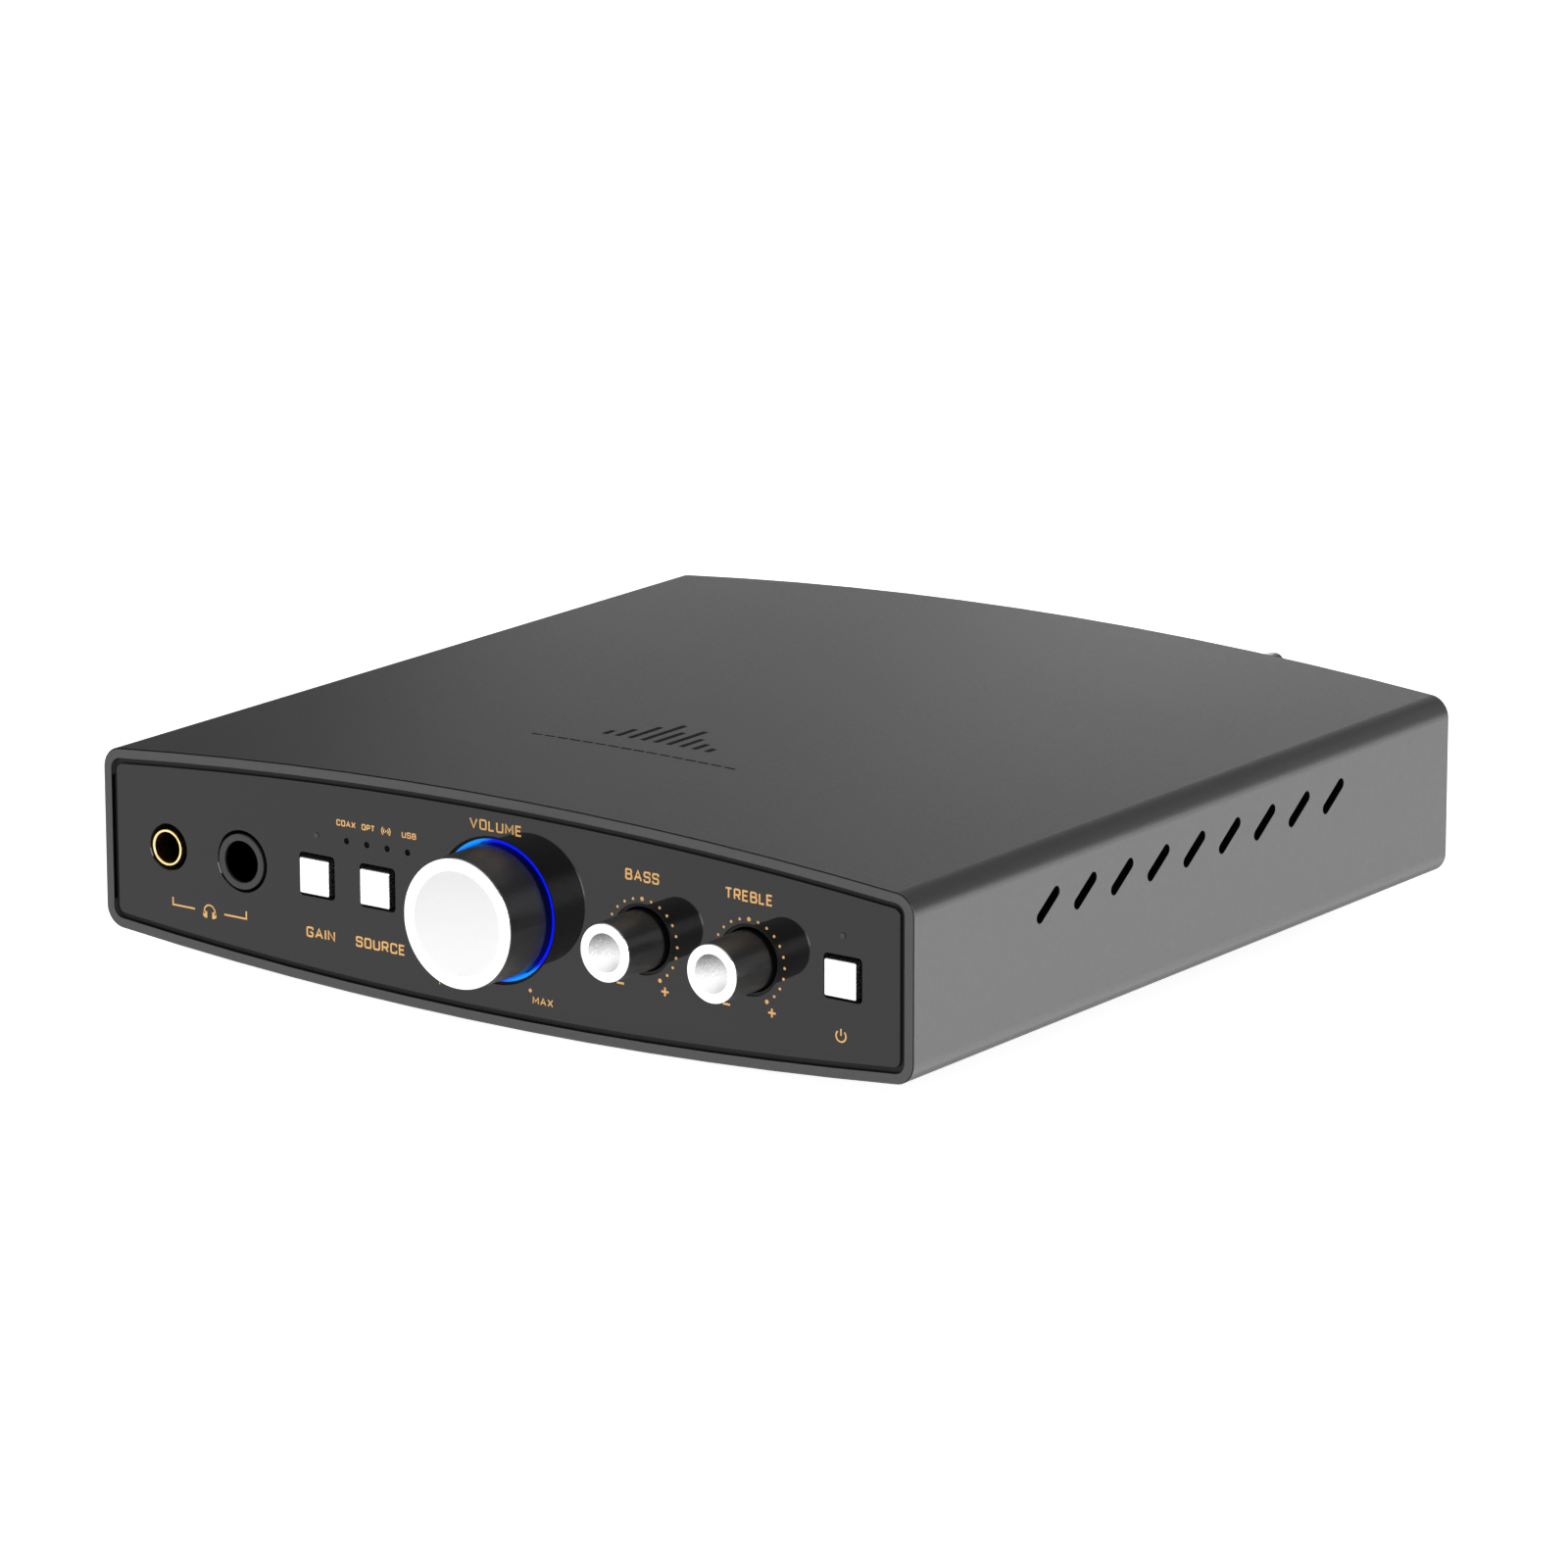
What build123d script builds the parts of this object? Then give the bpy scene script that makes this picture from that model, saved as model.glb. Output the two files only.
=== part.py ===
from build123d import *
import math
import os

# Desktop DAC and headphone amplifier, in millimetres.
# +X runs to the right, +Y to the rear and +Z up. The origin is on the surface that the feet
# stand on, under the middle of the overall length from the knob faces to the antenna.

# ---- housing ----
body_w = 188.0
body_d = 181.4
side_h = 34.67            # height of the flat side walls, corner to corner
top_rise = 4.55           # how far the top and the bottom bow outwards
bottom_drop = 4.61
corner_r = 4.18
wall = 1.95
edge_break = 0.25         # small chamfer on the sleeve's two end rims
ground_gap = 2.5          # from the feet's underside to the lowest point of the sleeve
knob_reach = 11.2         # knob faces stand this far in front of the sleeve
antenna_reach = 21.6      # the folded antenna stands this far behind it

front = knob_reach - (knob_reach + body_d + antenna_reach) / 2
rear = front + body_d
base_z = ground_gap + bottom_drop
axis_z = base_z + side_h / 2      # the line of the jacks, buttons and knobs

# ---- screws and ports ----
port_r = 3.0
thread_r = 1.5
shank_r = 1.45
port_x = 87.5
port_low_z = base_z + 5.0
port_high_z = base_z + side_h - 5.0
mid_port_low_z = ground_gap + wall + port_r
mid_port_high_z = base_z + side_h + top_rise - wall - port_r
port_points = [
    (-port_x, port_low_z), (0, mid_port_low_z), (port_x, port_low_z),
    (-port_x, port_high_z), (0, mid_port_high_z), (port_x, port_high_z),
]

# ---- front panel ----
panel_recess = 0.2        # the panel's face lies this far behind the sleeve's rim
groove_w = 1.1            # the step round the panel's face
groove_depth = 0.7
panel_t = 4.0
panel_gap = 0.1
panel_corner_r = 1.5
face = front + panel_recess
panel_back = face + panel_t
lug_w = 12.0
lug_d = 8.0
lug_top_z = base_z + 4.0
lug_x = [-70.0, -25.0, 25.0, 70.0]

# ---- controls along the front ----
balanced_x = -78.4
headphone_x = -60.3
gain_x = -42.1
source_x = -27.66
volume_x = 0.0
bass_x = 33.85
treble_x = 57.8
power_x = 78.5

light_z = axis_z + 7.85
light_pitch = 4.83
light_hole_r = 0.62
light_pipe_r = 0.57
source_light_sunk = 0.8
status_light_proud = 0.12
source_light_x = [source_x + light_pitch * (k - 1.5) for k in range(4)]
status_light_x = [gain_x, power_x]

button_w = 6.9
button_hole_w = 8.45
button_hole_r = 0.9
button_proud = 0.95
button_travel = 0.5
plunger_w = 3.0

volume_face_r = 12.35
volume_base_r = 12.6
ring_inner_r = 12.9
ring_outer_r = 13.5
ring_recess = 0.45
volume_rim_r = 14.03
tone_face_r = 5.5
tone_base_r = 5.72
tone_hole_r = 6.1
tone_rim_r = 6.75
rim_depth = 0.3
ring_flange_r = 15.5
knob_sunk = 1.2           # the knobs' rear ends sit this far below the panel's face
cap_t = 0.4               # visible edge of a knob's end cap
cap_chamfer = 0.12
plug_t = 1.8
shaft_r = 3.0
bearing_gap = 0.05

# ---- headphone sockets ----
headphone_hole_r = 5.95
jack_nose_r = 5.4
jack_nose_proud = 0.33
jack_mouth_r = 4.0
jack_mouth_depth = 3.5
jack_bore_r = 3.25
jack_depth = 33.0
jack_body_w = 15.5
balanced_hole_r = 4.5
ring_outer_face_r = 3.52  # the gold ring of the balanced socket
ring_lip_r = 3.0
ring_proud = 0.42
balanced_bore_r = 2.25
balanced_bore_depth = 20.0
balanced_depth = 24.0
balanced_body_w = 11.0
seat_step = 0.2           # the jacks' bodies stop this far behind the panel's back

# ---- boards ----
board_t = 1.6
board_z = base_z + 8.6
deck = board_z + board_t          # upper side of the main board
board_half_w = 90.4
front_board_y = face + 12.0
front_board_top_z = base_z + 30.6

# ---- rear panel and sockets ----
rear_recess = 0.5
rear_panel_t = 3.0
rear_face = rear - rear_recess
rear_inner = rear_face - rear_panel_t
dc_x = 74.0
usb_x = 58.0
antenna_x = 40.0
optical_x = 18.0
coax_x = -4.0
line_right_x = -36.0
line_left_x = -58.0
phono_z = deck + 6.6
phono_x = [coax_x, line_right_x, line_left_x]
phono_sleeve_r = 4.15
phono_proud = 9.0
phono_collar = 0.6        # the plastic collar round each phono socket stands this far out
phono_collar_r = 5.3
phono_seat_r = 4.7
phono_insert_r = 3.6
phono_centre_r = 1.7
phono_body_w = 12.0
phono_body_d = 13.0
phono_seat_depth = 5.0
dc_z = deck + 6.5
optical_z = deck + 5.0
usb_z = deck + 1.75
hole_gap = 0.1            # round each socket in the rear panel
socket_proud = 0.3
dc_collar_r = 4.6
dc_bore_r = 2.8
dc_pin_r = 1.05
dc_depth = 10.0
optical_body_w = 9.7
optical_body_h = 9.9
optical_key_w = 6.2
optical_key_h = 5.8
optical_depth = 8.5
usb_open_w = 8.34
usb_open_h = 2.56
usb_shell_t = 0.3
usb_depth = 6.5

# ---- antenna ----
antenna_z = base_z + 27.75
hinge_y = rear + 17.0
knuckle_r = rear + antenna_reach - hinge_y
mast_length = 50.0
barrel_r = 3.15
barrel_end = rear + 7.0
collar_front = rear + 2.5
collar_back = rear + 10.0

# ---- feet ----
foot_r = 8.0
foot_x = 64.0
foot_inset = 30.0         # foot centres, from the front and rear rims
foot_points = [(x, y) for x in (-foot_x, foot_x) for y in (front + foot_inset, rear - foot_inset)]


def facing(y):
    """Plane across the housing at depth y, seen from the front: local x is +X, local y is +Z.
    A negative extrusion from it runs towards the rear."""
    return Plane.XZ.offset(-y)


def bow(x, rise, inset):
    """Height, over the flat line between the corners, of an end-to-end arc set in by inset."""
    radius = (rise ** 2 + (body_w / 2) ** 2) / (2 * rise)
    return rise - radius + math.sqrt((radius - inset) ** 2 - x ** 2)


def housing_section(inset, corner, mode=Mode.ADD):
    """The housing's cross-section, set in from its outer skin."""
    half = body_w / 2 - inset
    top = base_z + side_h
    upper_side = top + bow(half, top_rise, inset)
    lower_side = base_z - bow(half, bottom_drop, inset)
    with BuildSketch(mode=Mode.PRIVATE) as section:
        with BuildLine():
            ThreePointArc((-half, upper_side), (0, top + top_rise - inset), (half, upper_side))
            Line((half, upper_side), (half, lower_side))
            ThreePointArc((half, lower_side), (0, ground_gap + inset), (-half, lower_side))
            Line((-half, lower_side), (-half, upper_side))
        make_face()
        fillet(section.vertices(), corner)
    add(section.sketch, mode=mode)


def finish(builder, name):
    """Label a finished piece and write its STEP file."""
    builder.part.label = name
    export_step(builder.part, f"parts/{name}.step")


os.makedirs("parts", exist_ok=True)

# ======================================================================== housing

# The extruded sleeve: one wall all round, with screw ports and board rails inside.
slot_count = 9
slot_pitch = 12.11
slot_first_y = front + 42.4
slot_z = base_z + 24.0
slot_r = 1.15
slot_span = 6.3
slot_tilt = 36.0
rail_reach = 3.0
rail_t = 1.0
rail_x = body_w / 2 - wall - rail_reach / 2
rail_gap = 0.1
port_web = body_w / 2 - wall - port_x + 0.1      # joins a corner port to the side wall
panel_screw_y = panel_back + lug_d / 2
screw_head_r = 2.9
sink_margin = 0.5

with BuildPart() as sleeve:
    with BuildSketch(facing(front)):
        housing_section(0, corner_r)
        housing_section(wall, corner_r - wall, mode=Mode.SUBTRACT)
    extrude(amount=-body_d)
    rims = sleeve.faces().sort_by(Axis.Y)
    chamfer(rims[0].outer_wire().edges() + rims[-1].outer_wire().edges(), edge_break)
    with BuildSketch(facing(panel_back + lug_d + 1)):
        with Locations(*port_points):
            Circle(port_r)
        for side in (-1, 1):
            for z in (port_low_z, port_high_z):
                with Locations((side * (port_x + port_web / 2), z)):
                    Rectangle(port_web, port_r)
            for z in (board_z - rail_gap - rail_t / 2, deck + rail_gap + rail_t / 2):
                with Locations((side * rail_x, z)):
                    Rectangle(rail_reach + 0.2, rail_t)
        for z in (mid_port_low_z - port_r / 2, mid_port_high_z + port_r / 2):
            with Locations((0, z)):
                Rectangle(2 * port_r, port_r + 0.2)
    extrude(amount=-(rear_inner - panel_back - lug_d - 1))
    with BuildSketch(facing(rear)):
        with Locations(*port_points):
            Circle(thread_r)
    extrude(amount=20, mode=Mode.SUBTRACT)
    with BuildSketch(Plane.YZ):
        with Locations((slot_first_y + slot_pitch * (slot_count - 1) / 2, slot_z)):
            with GridLocations(slot_pitch, 0, slot_count, 1):
                SlotCenterToCenter(slot_span, 2 * slot_r, rotation=slot_tilt)
    extrude(amount=body_w, both=True, mode=Mode.SUBTRACT)
    with BuildSketch(Plane.XY):
        with Locations(*foot_points, *[(x, panel_screw_y) for x in lug_x]):
            Circle(thread_r)
    extrude(amount=base_z + wall + 1, mode=Mode.SUBTRACT)
    for x in lug_x:
        sunk_z = base_z - bow(x, bottom_drop, 0)
        with BuildSketch(Plane.XY.offset(sunk_z - 0.3)):
            with Locations((x, panel_screw_y)):
                Circle(screw_head_r + sink_margin)
        extrude(amount=screw_head_r + sink_margin - thread_r, taper=45, mode=Mode.SUBTRACT)
finish(sleeve, "sleeve")

# The front panel: a plate with a stepped edge, which leaves a groove inside the sleeve's rim.
with BuildPart() as front_panel:
    with BuildSketch(facing(face + groove_depth)):
        housing_section(wall + panel_gap, corner_r - wall)
    extrude(amount=-(panel_t - groove_depth))
    with BuildSketch(facing(face)):
        housing_section(wall + groove_w, panel_corner_r)
    extrude(amount=-groove_depth)
    fillet(front_panel.faces().sort_by(Axis.Y)[0].outer_wire().edges(), 0.15)
    with BuildSketch(facing(panel_back)):
        with Locations(*[(x, lug_top_z - 10) for x in lug_x]):
            Rectangle(lug_w, 20)
        housing_section(wall + panel_gap, corner_r - wall, mode=Mode.INTERSECT)
    extrude(amount=-lug_d)
    with BuildSketch(facing(face)):
        with Locations((balanced_x, axis_z)):
            Circle(balanced_hole_r)
        with Locations((headphone_x, axis_z)):
            Circle(headphone_hole_r)
        with Locations(*[(x, axis_z) for x in (gain_x, source_x, power_x)]):
            RectangleRounded(button_hole_w, button_hole_w, button_hole_r)
        with Locations(*[(x, light_z) for x in source_light_x + status_light_x]):
            Circle(light_hole_r)
        with Locations((volume_x, axis_z)):
            Circle(ring_outer_r)
        with Locations((bass_x, axis_z), (treble_x, axis_z)):
            Circle(tone_hole_r)
    extrude(amount=-panel_t, mode=Mode.SUBTRACT)
    with BuildSketch(facing(face)):
        with Locations((volume_x, axis_z)):
            Circle(volume_rim_r)
        with Locations((bass_x, axis_z), (treble_x, axis_z)):
            Circle(tone_rim_r)
    extrude(amount=-rim_depth, mode=Mode.SUBTRACT)
    jack_rims = front_panel.edges().filter_by(GeomType.CIRCLE).filter_by(
        lambda e: e.radius in (balanced_hole_r, headphone_hole_r) and abs(e.center().Y - face) < 0.01)
    chamfer(jack_rims, 0.12)
    with BuildSketch(Plane.XY.offset(ground_gap)):
        with Locations(*[(x, panel_screw_y) for x in lug_x]):
            Circle(thread_r)
    extrude(amount=lug_top_z - ground_gap - 0.5, mode=Mode.SUBTRACT)
finish(front_panel, "front_panel")

# The rear panel, with an opening for each socket and countersunk screw holes.
with BuildPart() as rear_panel:
    with BuildSketch(facing(rear_inner)):
        housing_section(wall + panel_gap, corner_r - wall)
    extrude(amount=-rear_panel_t)
    with BuildSketch(facing(rear_inner)):
        with Locations(*port_points):
            Circle(thread_r + 0.1)
        with Locations(*[(x, phono_z) for x in phono_x]):
            Circle(phono_collar_r + hole_gap)
        with Locations((dc_x, dc_z)):
            Circle(dc_collar_r + hole_gap)
        with Locations((usb_x, usb_z)):
            SlotOverall(usb_open_w + 2 * usb_shell_t + 0.5, usb_open_h + 2 * usb_shell_t + 0.5)
        with Locations((optical_x, optical_z)):
            Rectangle(optical_body_w + 2 * hole_gap, optical_body_h + 2 * hole_gap)
        with Locations((antenna_x, antenna_z)):
            Circle(barrel_r + hole_gap)
    extrude(amount=-rear_panel_t, mode=Mode.SUBTRACT)
    with BuildSketch(facing(rear_face)):
        with Locations(*port_points):
            Circle(screw_head_r + 0.1)
    extrude(amount=1.4, taper=45, mode=Mode.SUBTRACT)
finish(rear_panel, "rear_panel")


def countersunk_screw(length):
    """A countersunk hex-socket screw, with its head's top on z = 0 and its shank below."""
    with BuildPart() as screw:
        with BuildSketch(Plane.XZ):
            with BuildLine():
                Polyline((0, 0), (screw_head_r, 0), (shank_r, shank_r - screw_head_r),
                         (shank_r, -length), (0, -length), close=True)
            make_face()
        revolve(axis=Axis.Z)
        with BuildSketch(Plane.XY):
            RegularPolygon(1.15, 6)
        extrude(amount=-1.1, mode=Mode.SUBTRACT)
    return screw.part


rear_screw = countersunk_screw(12).rotate(Axis.X, -90)
with BuildPart() as rear_panel_screws:
    with Locations(*[(x, rear_face, z) for x, z in port_points]):
        add(rear_screw)
finish(rear_panel_screws, "rear_panel_screws")

lug_screw = countersunk_screw(5.0).rotate(Axis.X, 180)
with BuildPart() as front_panel_screws:
    with Locations(*[(x, panel_screw_y, base_z - bow(x, bottom_drop, 0) + 0.1) for x in lug_x]):
        add(lug_screw)
finish(front_panel_screws, "front_panel_screws")

# Four rubber feet whose tops follow the sleeve's bowed underside, each held by a pan-head screw.
foot_top_z = base_z - bow(foot_x, bottom_drop, 0)
foot_screw_head_z = 1.4
with BuildPart() as feet:
    with BuildSketch(Plane.XY):
        with Locations(*foot_points):
            Circle(foot_r)
    extrude(amount=base_z)
    with BuildSketch(facing(front)):
        housing_section(0, corner_r)
    extrude(amount=-body_d, mode=Mode.SUBTRACT)
    chamfer(feet.faces().group_by(Axis.Z)[0].edges(), 0.8)
    with BuildSketch(Plane.XY):
        with Locations(*foot_points):
            Circle(screw_head_r + 0.4)
    extrude(amount=foot_screw_head_z + 1.6, mode=Mode.SUBTRACT)
    with BuildSketch(Plane.XY):
        with Locations(*foot_points):
            Circle(thread_r)
    extrude(amount=base_z, mode=Mode.SUBTRACT)
finish(feet, "feet")

with BuildPart() as foot_screws:
    with BuildSketch(Plane.XY.offset(foot_screw_head_z)):
        with Locations(*foot_points):
            Circle(screw_head_r)
    extrude(amount=1.6)
    with BuildSketch(Plane.XY.offset(foot_screw_head_z)):
        with Locations(*foot_points):
            Circle(shank_r)
    extrude(amount=foot_top_z + wall + 1 - foot_screw_head_z)
    with BuildSketch(Plane.XY.offset(foot_screw_head_z)):
        with Locations(*foot_points):
            Rectangle(3.2, 0.6)
            Rectangle(0.6, 3.2)
    extrude(amount=0.9, mode=Mode.SUBTRACT)
finish(foot_screws, "foot_screws")

# ======================================================================== boards

with BuildPart() as main_board:
    with BuildSketch(Plane.XY.offset(board_z)):
        with Locations((0, (panel_back + rear_inner) / 2)):
            Rectangle(2 * board_half_w, rear_inner - panel_back - 1.0)
        with Locations((volume_x, panel_back)):
            Rectangle(2 * ring_flange_r + 2, 4.0, mode=Mode.SUBTRACT)
    extrude(amount=board_t)
finish(main_board, "main_board")

front_board_left = -50.0
front_board_right = 84.0
with BuildPart() as front_board:
    with BuildSketch(facing(front_board_y)):
        with Locations(((front_board_left + front_board_right) / 2,
                        (deck + front_board_top_z) / 2)):
            Rectangle(front_board_right - front_board_left, front_board_top_z - deck)
        with Locations(*[(x, axis_z) for x in (volume_x, bass_x, treble_x)]):
            Circle(4.2, mode=Mode.SUBTRACT)
    extrude(amount=-board_t)
finish(front_board, "front_board")

header_x = -26.0
with BuildPart() as board_header:
    with BuildSketch(Plane.XY.offset(deck)):
        with Locations((header_x, front_board_y + board_t + 2.5)):
            Rectangle(26, 5)
    extrude(amount=4.5)
finish(board_header, "board_header")

# ======================================================================== headphone outputs

jack_nose_front = face - jack_nose_proud
jack_seat = panel_back + seat_step
with BuildPart() as headphone_jack:
    with BuildSketch(facing(jack_seat)):
        with Locations((headphone_x, axis_z)):
            Rectangle(jack_body_w, 2 * (axis_z - deck))
    extrude(amount=-(jack_nose_front + jack_depth - jack_seat))
    with BuildSketch(facing(jack_nose_front)):
        with Locations((headphone_x, axis_z)):
            Circle(jack_nose_r)
    extrude(amount=-(jack_seat - jack_nose_front))
    fillet(headphone_jack.faces().sort_by(Axis.Y)[0].edges(), 0.2)
    with BuildSketch(facing(jack_nose_front)):
        with Locations((headphone_x, axis_z)):
            Circle(jack_mouth_r)
    extrude(amount=-jack_mouth_depth, mode=Mode.SUBTRACT)
    with BuildSketch(facing(jack_nose_front)):
        with Locations((headphone_x, axis_z)):
            Circle(jack_bore_r)
    extrude(amount=-(jack_depth - 1.5), mode=Mode.SUBTRACT)
    fillet(headphone_jack.faces().sort_by(Axis.Y)[0].inner_wires().edges(), 0.25)
finish(headphone_jack, "headphone_jack")

balanced_front = face - ring_proud
insulator_front = face + 3.6
balanced_top = axis_z + 5.0
with BuildPart() as balanced_jack:
    with BuildSketch(facing(jack_seat)):
        with Locations((balanced_x, (deck + balanced_top) / 2)):
            Rectangle(balanced_body_w, balanced_top - deck)
    extrude(amount=-balanced_depth)
    with BuildSketch(facing(insulator_front)):
        with Locations((balanced_x, axis_z)):
            Circle(ring_lip_r - 0.02)
    extrude(amount=-(jack_seat - insulator_front))
    with BuildSketch(facing(insulator_front)):
        with Locations((balanced_x, axis_z)):
            Circle(balanced_bore_r)
    extrude(amount=-balanced_bore_depth, mode=Mode.SUBTRACT)
finish(balanced_jack, "balanced_jack")

with BuildPart() as balanced_jack_ring:
    with BuildSketch(facing(balanced_front)):
        with Locations((balanced_x, axis_z)):
            Circle(ring_outer_face_r)
            Circle(ring_lip_r, mode=Mode.SUBTRACT)
    extrude(amount=-(jack_seat - balanced_front))
    mouth = balanced_jack_ring.faces().sort_by(Axis.Y)[0]
    fillet(mouth.inner_wires().edges(), 0.2)
    fillet(balanced_jack_ring.faces().sort_by(Axis.Y)[0].outer_wire().edges(), 0.12)
finish(balanced_jack_ring, "balanced_jack_ring")

# ======================================================================== lights

# The light ring fills the volume knob's hole in the panel, and a flange behind holds it there.
with BuildPart() as light_ring:
    with BuildSketch(facing(face + ring_recess)):
        with Locations((volume_x, axis_z)):
            Circle(ring_outer_r - 0.03)
            Circle(ring_inner_r, mode=Mode.SUBTRACT)
    extrude(amount=-(panel_t - ring_recess))
    with BuildSketch(facing(panel_back)):
        with Locations((volume_x, axis_z)):
            Circle(ring_flange_r)
            Circle(ring_inner_r, mode=Mode.SUBTRACT)
    extrude(amount=-1.2)
finish(light_ring, "light_ring")

led_t = 1.0
pipe_back = front_board_y - led_t - 0.1
with BuildPart() as indicator_light_pipes:
    with BuildSketch(facing(face + source_light_sunk)):
        with Locations(*[(x, light_z) for x in source_light_x]):
            Circle(light_pipe_r)
    extrude(amount=-(pipe_back - face - source_light_sunk))
    with BuildSketch(facing(face - status_light_proud)):
        with Locations(*[(x, light_z) for x in status_light_x]):
            Circle(light_pipe_r)
    extrude(amount=-(pipe_back - face + status_light_proud))
finish(indicator_light_pipes, "indicator_light_pipes")

with BuildPart() as board_leds:
    with BuildSketch(facing(front_board_y - led_t)):
        with Locations(*[(x, light_z) for x in source_light_x + status_light_x]):
            Rectangle(1.6, 1.2)
        with Locations((volume_x, axis_z)):
            with PolarLocations((ring_inner_r + ring_outer_r) / 2, 8, -15, 210, endpoint=True):
                Rectangle(1.6, 3.0)
    extrude(amount=-led_t)
finish(board_leds, "board_leds")

# ======================================================================== buttons

cap_depth = 4.4
stem_sunk = 2.0
switch_front = front_board_y - 4.0
switch_w = 7.4
button_front = face - button_proud

with BuildPart() as button_switches:
    with BuildSketch(facing(switch_front)):
        with Locations(*[(x, axis_z) for x in (gain_x, source_x, power_x)]):
            Rectangle(switch_w, switch_w)
    extrude(amount=-4.0)
    with BuildSketch(facing(switch_front)):
        with Locations(*[(x, axis_z) for x in (gain_x, source_x, power_x)]):
            Rectangle(plunger_w + 0.6, plunger_w + 0.6)
    extrude(amount=-3.0, mode=Mode.SUBTRACT)
finish(button_switches, "button_switches")

for button_name, x in (("gain", gain_x), ("source", source_x), ("power", power_x)):
    with BuildPart() as button:
        with BuildSketch(facing(button_front)):
            with Locations((x, axis_z)):
                RectangleRounded(button_w, button_w, 0.35)
        extrude(amount=-cap_depth)
        chamfer(button.faces().sort_by(Axis.Y)[0].edges(), 0.12)
        with BuildSketch(facing(button_front + cap_depth)):
            with Locations((x, axis_z)):
                Rectangle(plunger_w, plunger_w)
        extrude(amount=stem_sunk, mode=Mode.SUBTRACT)
    finish(button, f"{button_name}_button")
    with BuildPart() as plunger:
        with BuildSketch(facing(button_front + cap_depth - stem_sunk)):
            with Locations((x, axis_z)):
                Rectangle(plunger_w, plunger_w)
        extrude(amount=-(switch_front + 2.0 - button_front - cap_depth + stem_sunk))
    finish(plunger, f"{button_name}_plunger")

# ======================================================================== rotary controls

pot_front = front_board_y + board_t + 0.4
bushing_front = face + 7.5
bushing_r = 3.9
knob_back = face + knob_sunk
knob_front = front - knob_reach

# name, centre, face radius, rear radius, flat margin round the dish, dish depth, pot width and
# depth, pointer angle clockwise from twelve o'clock
controls = [
    ("volume", volume_x, volume_face_r, volume_base_r, 2.5, 0.5, 15.0, 20.0, -135.0),
    ("bass", bass_x, tone_face_r, tone_base_r, 1.85, 1.0, 11.0, 12.0, -140.0),
    ("treble", treble_x, tone_face_r, tone_base_r, 1.85, 1.0, 11.0, 12.0, -140.0),
]

for name, x, face_r, base_r, margin, dish, pot_w, pot_d, pointer in controls:
    axis = Plane(origin=(x, 0, axis_z), x_dir=(1, 0, 0), z_dir=(0, 0, 1))
    spin = Axis((x, 0, axis_z), (0, 1, 0))
    cap_r = face_r - 0.02
    dish_r = face_r - margin
    plug_r = dish_r + 0.5
    rim_back = knob_front + cap_t
    plug_back = knob_front + plug_t

    # The knob's body tapers slightly towards its face and carries a bored hub for the shaft.
    with BuildPart() as knob:
        with BuildSketch(axis):
            with BuildLine():
                Polyline((0, plug_back), (plug_r, plug_back), (plug_r, rim_back),
                         (face_r, rim_back), (base_r, knob_back), (0, knob_back), close=True)
            make_face()
        revolve(axis=spin)
        with BuildSketch(facing(knob_back)):
            with Locations((x, axis_z)):
                Circle(shaft_r)
        extrude(amount=8.0, mode=Mode.SUBTRACT)
    finish(knob, f"{name}_knob")

    # The bright end cap: a flat rim round a shallow dish, a plug that seats in the body, and a
    # pin-prick pointer on the rim.
    with BuildPart() as cap:
        with BuildSketch(axis):
            with BuildLine():
                Polyline((0, plug_back), (plug_r, plug_back), (plug_r, rim_back),
                         (cap_r, rim_back), (cap_r, knob_front + cap_chamfer),
                         (cap_r - cap_chamfer, knob_front), (0, knob_front), close=True)
            make_face()
        revolve(axis=spin)
        dish_sphere_r = (dish_r ** 2 + dish ** 2) / (2 * dish)
        with Locations((x, knob_front + dish - dish_sphere_r, axis_z)):
            Sphere(dish_sphere_r, mode=Mode.SUBTRACT)
        mark_r = (face_r + dish_r) / 2 + 0.1
        turn = math.radians(pointer)
        with BuildSketch(facing(knob_front)):
            with Locations((x + mark_r * math.sin(turn), axis_z + mark_r * math.cos(turn))):
                Circle(0.25)
        extrude(amount=-0.2, mode=Mode.SUBTRACT)
    finish(cap, f"{name}_knob_cap")

    with BuildPart() as shaft:
        with BuildSketch(facing(knob_back - 8.0)):
            with Locations((x, axis_z)):
                Circle(shaft_r)
        extrude(amount=-(pot_front + pot_d - 2 - knob_back + 8.0))
    finish(shaft, f"{name}_shaft")

    # The potentiometer: its body stands on the main board and its bushing carries the shaft.
    with BuildPart() as pot:
        with BuildSketch(facing(pot_front)):
            with Locations((x, axis_z)):
                Rectangle(pot_w, 2 * (axis_z - deck))
        extrude(amount=-pot_d)
        with BuildSketch(facing(bushing_front)):
            with Locations((x, axis_z)):
                Circle(bushing_r)
        extrude(amount=-(pot_front - bushing_front))
        with BuildSketch(facing(bushing_front)):
            with Locations((x, axis_z)):
                Circle(shaft_r + bearing_gap)
        extrude(amount=-(pot_front + pot_d - 1.5 - bushing_front), mode=Mode.SUBTRACT)
    finish(pot, f"{name}_pot")

# ======================================================================== rear sockets

with BuildPart() as phono_housings:
    with BuildSketch(facing(rear_inner - phono_body_d)):
        with Locations(*[(x, phono_z) for x in phono_x]):
            Rectangle(phono_body_w, 2 * (phono_z - deck))
    extrude(amount=-phono_body_d)
    with BuildSketch(facing(rear_inner)):
        with Locations(*[(x, phono_z) for x in phono_x]):
            Circle(phono_collar_r)
    extrude(amount=-(rear_panel_t + phono_collar))
    with BuildSketch(facing(rear_inner - phono_body_d + 2)):
        with Locations(*[(x, phono_z) for x in phono_x]):
            Circle(phono_seat_r)
    extrude(amount=-(phono_body_d + rear_panel_t), mode=Mode.SUBTRACT)
finish(phono_housings, "phono_housings")

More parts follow.
